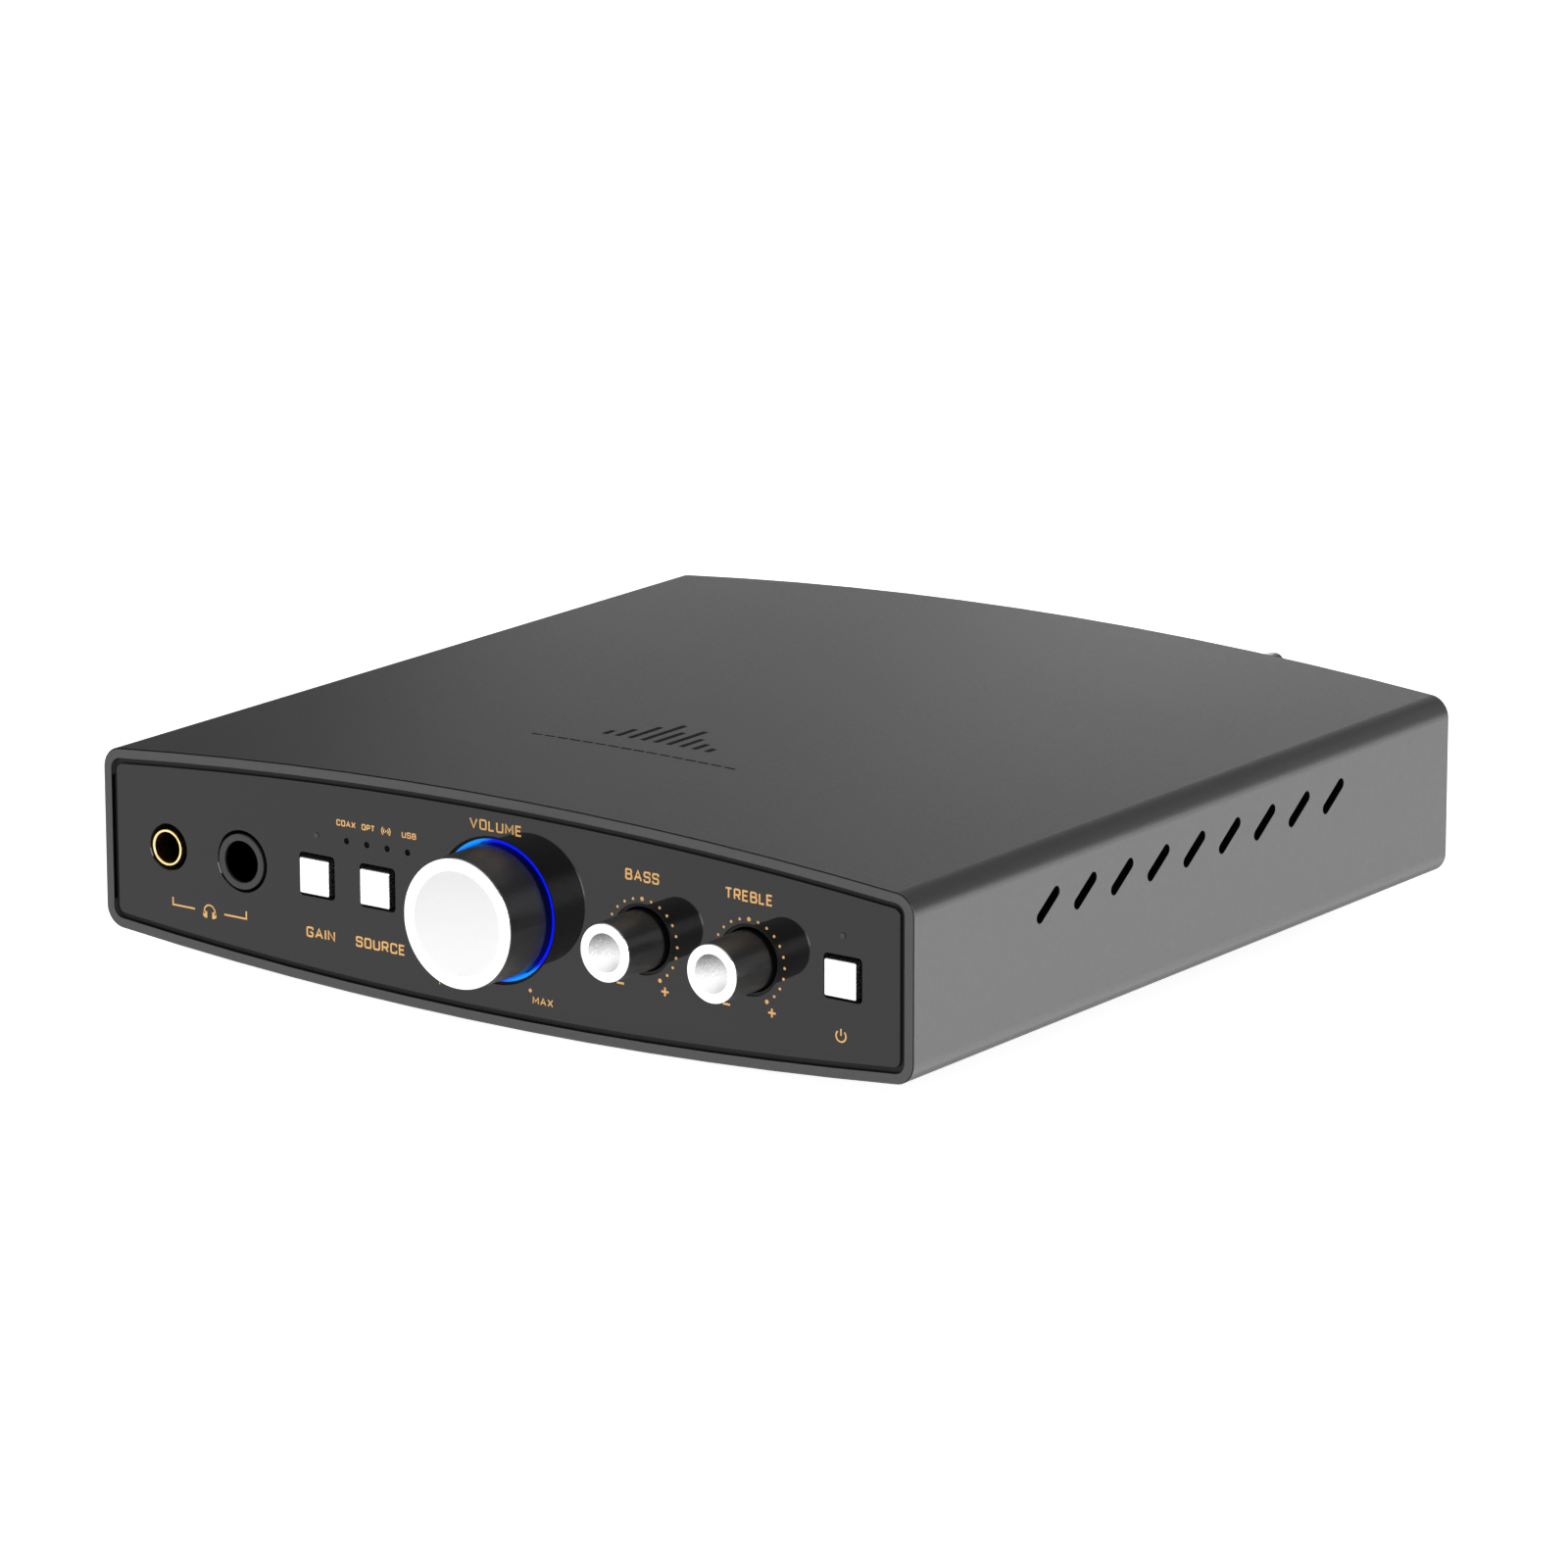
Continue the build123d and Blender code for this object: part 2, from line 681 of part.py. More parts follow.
with BuildPart() as phono_sleeves:
    with BuildSketch(facing(rear_inner - phono_seat_depth)):
        with Locations(*[(x, phono_z) for x in phono_x]):
            Circle(phono_seat_r)
            Circle(phono_insert_r, mode=Mode.SUBTRACT)
    extrude(amount=-(rear_panel_t + phono_seat_depth + phono_collar))
    with BuildSketch(facing(rear_face + phono_collar)):
        with Locations(*[(x, phono_z) for x in phono_x]):
            Circle(phono_sleeve_r)
            Circle(phono_insert_r, mode=Mode.SUBTRACT)
    extrude(amount=-(phono_proud - phono_collar))
    chamfer(phono_sleeves.faces().group_by(Axis.Y)[-1].edges(), 0.2)
finish(phono_sleeves, "phono_sleeves")

for name, x in (("coax", coax_x), ("line_out_right", line_right_x), ("line_out_left", line_left_x)):
    with BuildPart() as insert:
        with BuildSketch(facing(rear_inner - phono_seat_depth)):
            with Locations((x, phono_z)):
                Circle(phono_insert_r)
        extrude(amount=-(rear_panel_t + phono_seat_depth + phono_proud - 0.6))
        with BuildSketch(facing(rear_face + phono_proud)):
            with Locations((x, phono_z)):
                Circle(phono_centre_r)
        extrude(amount=12, mode=Mode.SUBTRACT)
    finish(insert, f"{name}_insert")

with BuildPart() as optical_socket:
    with BuildSketch(facing(rear_inner - 10)):
        with Locations((optical_x, optical_z)):
            Rectangle(optical_body_w, optical_body_h)
    extrude(amount=-(10 + rear_panel_t + socket_proud))
    with BuildSketch(facing(rear_face + socket_proud)) as keyway:
        with Locations((optical_x, optical_z)):
            Rectangle(optical_key_w, optical_key_h)
        chamfer(keyway.vertices().group_by(Axis.Z)[-1], 1.2)
    extrude(amount=optical_depth, mode=Mode.SUBTRACT)
finish(optical_socket, "optical_socket")

usb_mouth = rear_face + 0.1
with BuildPart() as usb_socket_shell:
    with BuildSketch(facing(rear_inner - 4.5)):
        with Locations((usb_x, usb_z)):
            SlotOverall(usb_open_w + 2 * usb_shell_t, usb_open_h + 2 * usb_shell_t)
    extrude(amount=-(usb_mouth - rear_inner + 4.5))
    with BuildSketch(facing(usb_mouth)):
        with Locations((usb_x, usb_z)):
            SlotOverall(usb_open_w, usb_open_h)
    extrude(amount=usb_depth, mode=Mode.SUBTRACT)
    with BuildSketch(Plane.XY.offset(deck)):
        with Locations((usb_x - 4.0, rear_inner - 2.5), (usb_x + 4.0, rear_inner - 2.5)):
            Rectangle(0.6, 1.4)
    extrude(amount=1.2)
finish(usb_socket_shell, "usb_socket_shell")

with BuildPart() as usb_socket_tongue:
    with BuildSketch(facing(usb_mouth - usb_depth)):
        with Locations((usb_x, usb_z)):
            Rectangle(6.69, 0.7)
    extrude(amount=-5.2)
finish(usb_socket_tongue, "usb_socket_tongue")

dc_mouth = rear_face + socket_proud
with BuildPart() as dc_inlet:
    with BuildSketch(facing(rear_inner - 11)):
        with Locations((dc_x, dc_z)):
            Rectangle(9.0, 13.0)
    extrude(amount=-11)
    with BuildSketch(facing(rear_inner)):
        with Locations((dc_x, dc_z)):
            Circle(dc_collar_r)
    extrude(amount=-(dc_mouth - rear_inner))
    with BuildSketch(facing(dc_mouth)):
        with Locations((dc_x, dc_z)):
            Circle(dc_bore_r)
    extrude(amount=dc_depth, mode=Mode.SUBTRACT)
finish(dc_inlet, "dc_inlet")

with BuildPart() as dc_inlet_pin:
    with BuildSketch(facing(dc_mouth - dc_depth)):
        with Locations((dc_x, dc_z)):
            Circle(dc_pin_r)
    extrude(amount=1.5 - dc_depth)
    fillet(dc_inlet_pin.faces().sort_by(Axis.Y)[-1].edges(), 0.5)
finish(dc_inlet_pin, "dc_inlet_pin")

# ======================================================================== antenna

with BuildPart() as antenna_socket:
    with BuildSketch(facing(rear_inner - 3)):
        with Locations((antenna_x, antenna_z)):
            Rectangle(8, 8)
    extrude(amount=-3)
    with BuildSketch(facing(rear_inner - 8)):
        with Locations((antenna_x, antenna_z)):
            Circle(2.4)
    extrude(amount=-5)
    with BuildSketch(facing(rear_inner)):
        with Locations((antenna_x, antenna_z)):
            Circle(barrel_r)
    extrude(amount=-(barrel_end - rear_inner))
    with BuildSketch(facing(barrel_end)):
        with Locations((antenna_x, antenna_z)):
            Circle(0.7)
    extrude(amount=5, mode=Mode.SUBTRACT)
finish(antenna_socket, "antenna_socket")

with BuildPart() as antenna_socket_nut:
    with BuildSketch(facing(rear_face)):
        with Locations((antenna_x, antenna_z)):
            Circle(4.9)
            Circle(barrel_r + 0.04, mode=Mode.SUBTRACT)
    extrude(amount=-0.5)
    with BuildSketch(facing(rear_face + 0.5)):
        with Locations((antenna_x, antenna_z)):
            RegularPolygon(4.6, 6)
            Circle(barrel_r + 0.04, mode=Mode.SUBTRACT)
    extrude(amount=-2.2)
finish(antenna_socket_nut, "antenna_socket_nut")

# The antenna's own coupling nut screws onto the barrel; the elbow's spigot turns in its end.
with BuildPart() as antenna_collar:
    with BuildSketch(facing(collar_front)):
        with Locations((antenna_x, antenna_z)):
            Circle(4.7)
            with PolarLocations(4.85, 24):
                Circle(0.3, mode=Mode.SUBTRACT)
    extrude(amount=-(collar_back - collar_front))
    with BuildSketch(facing(collar_front)):
        with Locations((antenna_x, antenna_z)):
            Circle(barrel_r + 0.05)
    extrude(amount=-(barrel_end + 0.3 - collar_front), mode=Mode.SUBTRACT)
    with BuildSketch(facing(collar_front)):
        with Locations((antenna_x, antenna_z)):
            Circle(2.0)
    extrude(amount=-(collar_back - collar_front), mode=Mode.SUBTRACT)
finish(antenna_collar, "antenna_collar")

tongue_half = 2.0
fork_half = tongue_half + 0.3
pin_r = 1.2
spigot_r = 1.94
fork_floor = hinge_y - knuckle_r - 0.3
hinge_plane = Plane(origin=(antenna_x, hinge_y, antenna_z), x_dir=(1, 0, 0), z_dir=(0, 0, 1))
with BuildPart() as antenna_elbow:
    with BuildSketch(facing(collar_back + 0.2)):
        with Locations((antenna_x, antenna_z)):
            Circle(knuckle_r)
    extrude(amount=-(hinge_y + knuckle_r - collar_back - 0.2))
    with BuildSketch(hinge_plane):
        with Locations((0, -10 - knuckle_r / 2)):
            Rectangle(30, 20 + knuckle_r)
        Circle(knuckle_r)
    extrude(amount=30, both=True, mode=Mode.INTERSECT)
    with BuildSketch(facing(fork_floor)):
        with Locations((antenna_x, antenna_z)):
            Rectangle(30, 2 * fork_half)
    extrude(amount=-30, mode=Mode.SUBTRACT)
    with BuildSketch(hinge_plane):
        Circle(pin_r)
    extrude(amount=30, both=True, mode=Mode.SUBTRACT)
    with BuildSketch(facing(barrel_end + 0.5)):
        with Locations((antenna_x, antenna_z)):
            Circle(spigot_r)
    extrude(amount=-(collar_back + 0.2 - barrel_end - 0.5))
finish(antenna_elbow, "antenna_elbow")

with BuildPart() as antenna_pin:
    with BuildSketch(hinge_plane):
        Circle(pin_r)
    extrude(amount=knuckle_r * 0.88, both=True)
finish(antenna_pin, "antenna_pin")

mast_root_r = 4.4
mast_tip_r = 3.6
mast_start = knuckle_r + 0.9
with BuildPart() as antenna_mast:
    with BuildSketch(hinge_plane):
        with BuildLine():
            Polyline((-mast_start, 0), (-mast_start, mast_root_r),
                     (-mast_length + mast_tip_r, mast_tip_r))
            ThreePointArc((-mast_length + mast_tip_r, mast_tip_r),
                          (-mast_length + mast_tip_r * (1 - math.sqrt(0.5)),
                           mast_tip_r * math.sqrt(0.5)),
                          (-mast_length, 0))
            Line((-mast_length, 0), (-mast_start, 0))
        make_face()
    revolve(axis=Axis((antenna_x, hinge_y, antenna_z), (1, 0, 0)))
    with BuildSketch(hinge_plane):
        Circle(knuckle_r - 0.2)
        with Locations((-mast_start / 2, 0)):
            Rectangle(mast_start + 1, 2 * knuckle_r - 1.6)
    extrude(amount=tongue_half, both=True)
    with BuildSketch(hinge_plane):
        Circle(pin_r + bearing_gap)
    extrude(amount=30, both=True, mode=Mode.SUBTRACT)
finish(antenna_mast, "antenna_mast")

# ======================================================================== inside

# A finned heat sink across the middle, with the output stage's transistors against it.
sink_x = -58.0
sink_y = -10.0
sink_l = 60.0
sink_t = 3.0
fin_count = 11
fin_reach = 8.0
with BuildPart() as heat_sink:
    with BuildSketch(Plane.XY.offset(deck)):
        with Locations((sink_x, sink_y)):
            Rectangle(sink_t, sink_l)
        with Locations((sink_x - sink_t / 2 - fin_reach / 2, sink_y)):
            with GridLocations(0, (sink_l - 1.2) / (fin_count - 1), 1, fin_count):
                Rectangle(fin_reach + 0.2, 1.2)
    extrude(amount=18)
finish(heat_sink, "heat_sink")

with BuildPart() as power_transistors:
    with BuildSketch(Plane.XY.offset(deck + 4)):
        with Locations((sink_x + sink_t / 2 + 2.2, sink_y)):
            with GridLocations(0, 15, 1, 4):
                Rectangle(4.4, 10)
    extrude(amount=13)
    with BuildSketch(Plane.XY.offset(deck)):
        with Locations((sink_x + sink_t / 2 + 2.2, sink_y)):
            for step in (-2.5, 0, 2.5):
                with Locations((0, step)):
                    with GridLocations(0, 15, 1, 4):
                        Rectangle(0.6, 0.9)
    extrude(amount=4)
finish(power_transistors, "power_transistors")

with BuildPart() as capacitors:
    with BuildSketch(Plane.XY.offset(deck)):
        with Locations((-22, 22)):
            with GridLocations(15, 15, 2, 2):
                Circle(6.25)
    extrude(amount=20)
    fillet(capacitors.faces().group_by(Axis.Z)[-1].edges(), 0.8)
    with BuildSketch(Plane.XY.offset(deck)):
        with Locations((72, 22)):
            with GridLocations(12, 0, 3, 1):
                Circle(4.0)
    extrude(amount=11.5)
finish(capacitors, "capacitors")

with BuildPart() as output_relays:
    with BuildSketch(Plane.XY.offset(deck)):
        with Locations((-34, front + 52)):
            with GridLocations(14, 0, 2, 1):
                RectangleRounded(10, 15, 0.6)
    extrude(amount=10)
finish(output_relays, "output_relays")

chip_places = [(10, 10, 12, 12), (38, 2, 9, 9), (10, -22, 10, 7), (38, -22, 10, 7), (66, 0, 7, 7)]
with BuildPart() as board_chips:
    with BuildSketch(Plane.XY.offset(deck)):
        for chip_x, chip_y, chip_w, chip_d in chip_places:
            with Locations((chip_x, chip_y)):
                Rectangle(chip_w, chip_d)
    extrude(amount=1.2)
finish(board_chips, "board_chips")

with BuildPart() as power_inductors:
    with BuildSketch(Plane.XY.offset(deck)):
        with Locations((66, 48)):
            with GridLocations(15, 0, 2, 1):
                RectangleRounded(10, 10, 1.5)
    extrude(amount=5)
finish(power_inductors, "power_inductors")

module_x = antenna_x
module_y = rear - 44
module_t = 2.6
with BuildPart() as wireless_module:
    with BuildSketch(Plane.XY.offset(deck)):
        with Locations((module_x, module_y)):
            Rectangle(16, 22)
    extrude(amount=0.8)
    with BuildSketch(Plane.XY.offset(deck + 0.8)):
        with Locations((module_x, module_y)):
            RectangleRounded(14, 15, 0.5)
    extrude(amount=module_t - 0.8)
finish(wireless_module, "wireless_module")

# The thin coaxial lead from the module up to the antenna socket.
lead_r = 0.7
lead_start = (antenna_x, rear_inner - 8, antenna_z)
lead_points = [
    lead_start,
    (antenna_x, module_y, antenna_z),
    (antenna_x, module_y, deck + module_t),
]
with BuildPart() as antenna_lead:
    with BuildLine() as lead_path:
        FilletPolyline(*lead_points, radius=6.0)
    with BuildSketch(Plane(origin=lead_start, z_dir=(0, -1, 0))):
        Circle(lead_r)
    sweep(path=lead_path.line)
finish(antenna_lead, "antenna_lead")
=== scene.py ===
import math

import bmesh
import bpy
from mathutils import Matrix, Vector


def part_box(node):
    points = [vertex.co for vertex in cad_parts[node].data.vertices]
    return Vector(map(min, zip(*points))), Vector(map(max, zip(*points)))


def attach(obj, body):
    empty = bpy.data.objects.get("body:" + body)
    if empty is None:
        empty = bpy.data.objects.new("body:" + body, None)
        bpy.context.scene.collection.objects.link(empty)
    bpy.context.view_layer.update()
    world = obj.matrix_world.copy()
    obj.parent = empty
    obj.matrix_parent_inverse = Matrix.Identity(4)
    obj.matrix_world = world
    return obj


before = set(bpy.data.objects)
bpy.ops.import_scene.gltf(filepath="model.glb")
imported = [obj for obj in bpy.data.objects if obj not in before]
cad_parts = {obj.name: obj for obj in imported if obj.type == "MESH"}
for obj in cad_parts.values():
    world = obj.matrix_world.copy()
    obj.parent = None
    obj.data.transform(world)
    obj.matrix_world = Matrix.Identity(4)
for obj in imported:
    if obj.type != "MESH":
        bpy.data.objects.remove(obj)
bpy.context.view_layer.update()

MM = 0.001
scene = bpy.context.scene


def middle(node):
    """The centre of a CAD node's box."""
    low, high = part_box(node)
    return (low + high) / 2


# ------------------------------------------------------------------ camera
# The view is given by its direction, what it aims at and its field.
AZIMUTH = 35.961
ELEVATION = 14.357
ROLL = -0.094
DISTANCE = 1.4532
LENS = 181.12
AIM = Vector((37.26, -56.61, 45.87)) * MM


def add_camera():
    data = bpy.data.cameras.new("camera")
    data.lens = LENS
    data.sensor_width = 36.0
    data.clip_start = 0.05
    data.clip_end = 60.0
    camera = bpy.data.objects.new("camera", data)
    scene.collection.objects.link(camera)
    scene.camera = camera
    a = math.radians(AZIMUTH)
    e = math.radians(ELEVATION)
    back = Vector((math.sin(a) * math.cos(e), -math.cos(a) * math.cos(e), math.sin(e)))
    turn = (-back).to_track_quat("-Z", "Y").to_matrix().to_4x4()
    camera.matrix_world = Matrix.Translation(AIM + back * DISTANCE) @ turn @ Matrix.Rotation(
        math.radians(ROLL), 4, "Z")


add_camera()


# ------------------------------------------------------------------ light and floor
def add_light(name, place, aim, width, height, watts):
    data = bpy.data.lights.new(name, "AREA")
    data.shape = "RECTANGLE"
    data.size = width
    data.size_y = height
    data.energy = watts
    light = bpy.data.objects.new(name, data)
    scene.collection.objects.link(light)
    light.location = place
    light.rotation_mode = "QUATERNION"
    light.rotation_quaternion = (Vector(aim) - Vector(place)).to_track_quat("-Z", "Y")
    light.visible_camera = False


def add_world():
    """A dim room round the lit table."""
    world = bpy.data.worlds.new("studio")
    scene.world = world
    world.use_nodes = True
    sky = world.node_tree.nodes["Background"]
    sky.inputs["Color"].default_value = (1, 1, 1, 1)
    sky.inputs["Strength"].default_value = 0.03


def add_floor():
    mesh = bpy.data.meshes.new("floor")
    work = bmesh.new()
    bmesh.ops.create_grid(work, x_segments=8, y_segments=8, size=7.0)
    work.to_mesh(mesh)
    work.free()
    floor = bpy.data.objects.new("floor", mesh)
    scene.collection.objects.link(floor)
    return floor


scene.view_settings.view_transform = "Standard"
scene.view_settings.look = "None"
add_world()
floor = add_floor()
# One large soft light overhead, two low soft boxes behind that grade the top from left to right,
# and two in front.
TABLE = (0, 0, 0.03)
add_light("overhead", (0.0, -0.2, 2.0), (0, 0, 0), 3.0, 3.0, 20)
add_light("back_low", (-0.1, 1.3, 0.25), TABLE, 1.4, 0.5, 2.2)
add_light("back_near", (-0.25, 0.9, 0.2), TABLE, 1.0, 0.35, 0.64)
add_light("front", (-0.45, -1.5, 0.66), TABLE, 2.4, 1.25, 12)
add_light("front_right", (1.1, -1.3, 0.3), TABLE, 0.45, 1.1, 13)


# ------------------------------------------------------------------ materials
def material(name, colour, metallic=0.0, roughness=0.5, **sockets):
    """A principled material. Its constant values are set on the shader's own sockets."""
    made = bpy.data.materials.new(name)
    made.use_nodes = True
    shader = made.node_tree.nodes["Principled BSDF"]
    shader.inputs["Base Color"].default_value = (*colour, 1)
    shader.inputs["Metallic"].default_value = metallic
    shader.inputs["Roughness"].default_value = roughness
    for socket, value in sockets.items():
        shader.inputs[socket.replace("_", " ")].default_value = value
    return made


def shader_of(made):
    return made.node_tree.nodes["Principled BSDF"]


def place_coordinates(made, stretch=(1, 1, 1)):
    """Object coordinates in millimetres, so that a noise scale reads as cycles per millimetre."""
    nodes = made.node_tree.nodes
    where = nodes.new("ShaderNodeTexCoord")
    scale = nodes.new("ShaderNodeMapping")
    scale.inputs["Scale"].default_value = [s / MM for s in stretch]
    made.node_tree.links.new(where.outputs["Object"], scale.inputs["Vector"])
    return scale.outputs["Vector"]


def noise(made, cycles, detail=3.0, stretch=(1, 1, 1), roughness=0.5):
    texture = made.node_tree.nodes.new("ShaderNodeTexNoise")
    texture.inputs["Scale"].default_value = cycles
    texture.inputs["Detail"].default_value = detail
    texture.inputs["Roughness"].default_value = roughness
    made.node_tree.links.new(place_coordinates(made, stretch), texture.inputs["Vector"])
    return texture.outputs["Fac"]


def remap(made, value, low, high, start=0.3, stop=0.7):
    node = made.node_tree.nodes.new("ShaderNodeMapRange")
    node.inputs["From Min"].default_value = start
    node.inputs["From Max"].default_value = stop
    node.inputs["To Min"].default_value = low
    node.inputs["To Max"].default_value = high
    made.node_tree.links.new(value, node.inputs["Value"])
    return node.outputs["Result"]


def mix(made, share, first, second):
    """Mixes two colours, each a tuple or a socket."""
    node = made.node_tree.nodes.new("ShaderNodeMix")
    node.data_type = "RGBA"
    for socket, value in (("A", first), ("B", second)):
        slot = next(s for s in node.inputs if s.name == socket and s.type == "RGBA")
        if isinstance(value, tuple):
            slot.default_value = (*value, 1)
        else:
            made.node_tree.links.new(value, slot)
    made.node_tree.links.new(share, node.inputs["Factor"])
    return next(s for s in node.outputs if s.type == "RGBA")


def along(made, direction):
    """One object coordinate in metres."""
    nodes = made.node_tree.nodes
    where = nodes.new("ShaderNodeTexCoord")
    split = nodes.new("ShaderNodeSeparateXYZ")
    made.node_tree.links.new(where.outputs["Object"], split.inputs[0])
    return split.outputs[direction]


def math_node(made, operation, first, second):
    """A math node on two values, each a number or a socket."""
    node = made.node_tree.nodes.new("ShaderNodeMath")
    node.operation = operation
    for slot, value in zip(node.inputs, (first, second)):
        if isinstance(value, (int, float)):
            slot.default_value = value
        else:
            made.node_tree.links.new(value, slot)
    return node.outputs[0]


def from_middle(made, node):
    """How far across and up a point is from a node's middle, and the square of its distance."""
    centre = middle(node)
    across = math_node(made, "SUBTRACT", along(made, "X"), centre.x)
    up = math_node(made, "SUBTRACT", along(made, "Z"), centre.z)
    far = math_node(made, "ADD", math_node(made, "MULTIPLY", across, across),
                    math_node(made, "MULTIPLY", up, up))
    return across, up, far


def vary(made, first, second, share):
    """The base colour runs between two colours by share."""
    colour = mix(made, share, first, second)
    made.node_tree.links.new(colour, shader_of(made).inputs["Base Color"])


def vary_roughness(made, value):
    made.node_tree.links.new(value, shader_of(made).inputs["Roughness"])


def bump(made, height, depth, strength=1.0):
    """Bump from a height of 0 to 1 that stands for depth millimetres."""
    node = made.node_tree.nodes.new("ShaderNodeBump")
    node.inputs["Distance"].default_value = depth * MM
    node.inputs["Strength"].default_value = strength
    made.node_tree.links.new(height, node.inputs["Height"])
    made.node_tree.links.new(node.outputs["Normal"], shader_of(made).inputs["Normal"])


def dress(made, *names):
    """Gives CAD nodes a material."""
    for name in names:
        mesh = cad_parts[name].data
        mesh.materials.clear()
        mesh.materials.append(made)


SLOT_REACH = 12 * MM          # the vent slots reach this far above and below mid height
# painted shade: the underside is painted darker up to this height above its lowest point
UNDERSIDE_SHADE = 5.7 * MM          # the shaded band of the underside, above the sleeve's lowest point
UNDERSIDE_SHADE_FADE = 1.2 * MM


def blasted_metal():
    """Blasted metal. Its cut rims, the walls of its slots, its inside and its underside are painted
    darker by place, as painted shade; the rims' broken edges carry painted shadow lines."""
    made = material("blasted_metal", (0.2, 0.2, 0.202), metallic=0.9, roughness=0.42)
    skin_and_shade = mix(made, noise(made, 0.9, 4), (0.187, 0.187, 0.189), (0.2, 0.2, 0.202))
    # painted shade: the two cut rims are painted darker than the blasted skin, and their broken
    # edges darker still, as painted shadow lines
    low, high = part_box("sleeve")
    depth = along(made, "Y")
    from_rim = math_node(made, "MINIMUM", math_node(made, "SUBTRACT", depth, low.y),
                         math_node(made, "SUBTRACT", high.y, depth))
    edge_shadow = remap(made, from_rim, 0.0, 1.0, 0.04 * MM, 0.09 * MM)
    cut = mix(made, edge_shadow, (0.078, 0.078, 0.08), (0.012, 0.012, 0.012))
    # painted shade: between the side walls' skins the walls of the slots and the inside of the tube
    # are painted dark
    across = math_node(made, "ABSOLUTE", along(made, "X"), 0.0)
    recess_shade = remap(made, across, 1.0, 0.0, high.x - 0.1 * MM, high.x - 0.04 * MM)
    above = math_node(made, "ABSOLUTE",
                      math_node(made, "SUBTRACT", along(made, "Z"), (low.z + high.z) / 2), 0.0)
    at_slots = remap(made, above, 1.0, 0.0, SLOT_REACH, SLOT_REACH + 0.5 * MM)
    skin_and_shade = mix(made, math_node(made, "MULTIPLY", recess_shade, at_slots), skin_and_shade, (0.01, 0.01, 0.01))
    # painted shade: the underside and the roll of its corners are painted darker, for the shade
    # they sit in
    underside_shade = remap(made, along(made, "Z"), 1.0, 0.0, low.z + UNDERSIDE_SHADE,
                  low.z + UNDERSIDE_SHADE + UNDERSIDE_SHADE_FADE)
    skin_and_shade = mix(made, underside_shade, skin_and_shade, (0.06, 0.06, 0.06))
    # the rims take their painted shade, the rest the skin with its painted shade
    vary(made, cut, skin_and_shade, remap(made, from_rim, 0.0, 1.0, 0.2 * MM, 0.26 * MM))
    vary_roughness(made, remap(made, noise(made, 1.6, 3), 0.40, 0.47))
    bump(made, noise(made, 3.2, 2), 0.02, 0.6)
    return made


def panel_gloss():
    """Gloss black face; the step round it and the walls of its holes are painted duller and darker,
    as painted shade.
    """
    made = material("panel_gloss", (0.003, 0.003, 0.0031), roughness=0.03, IOR=1.45)
    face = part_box("front_panel")[0].y
    step_shade = remap(made, along(made, "Y"), 0.0, 1.0, face + 0.16 * MM, face + 0.3 * MM)
    # painted shade: the wall round the light ring is painted dullest of all
    far = from_middle(made, "light_ring")[2]
    ring_wall_shade = remap(made, far, 0.04, 0.2, (15 * MM) ** 2, (17 * MM) ** 2)
    vary(made, (0.003, 0.003, 0.0031), (0.011, 0.011, 0.011), step_shade)
    sheen = remap(made, noise(made, 0.12, 3), 0.02, 0.045)
    vary_roughness(made, math_node(made, "MAXIMUM", sheen, remap(made, step_shade, 0.0, 0.5, 0.0, 1.0)))
    level = math_node(made, "ADD", 0.5, math_node(made, "MULTIPLY", step_shade,
                                                  math_node(made, "SUBTRACT", ring_wall_shade, 0.5)))
    made.node_tree.links.new(level, shader_of(made).inputs["Specular IOR Level"])
    return made


def knob_gloss():
    """Black anodised metal, turned: the fine rings of the tool draw the highlights out along the
    knob. The skirt that dips towards the panel is painted dark, as painted shade by the
    panel."""
    made = material("knob_gloss", (0.17, 0.17, 0.172), metallic=0.95, roughness=0.36,
                    Anisotropic=0.4, Anisotropic_Rotation=0.25)
    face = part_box("front_panel")[0].y
    # painted shade: the knob is painted darker where it dips towards the panel
    skirt_shade = remap(made, along(made, "Y"), 0.0, 1.0, face - 1.3 * MM, face - 0.7 * MM)
    vary(made, (0.17, 0.17, 0.172), (0.02, 0.02, 0.02), skirt_shade)
    turning = made.node_tree.nodes.new("ShaderNodeTangent")
    turning.direction_type = "RADIAL"
    turning.axis = "Y"
    made.node_tree.links.new(turning.outputs["Tangent"], shader_of(made).inputs["Tangent"])
    vary_roughness(made, remap(made, noise(made, 0.6, 3, (1, 8, 1)), 0.32, 0.42))
    return made


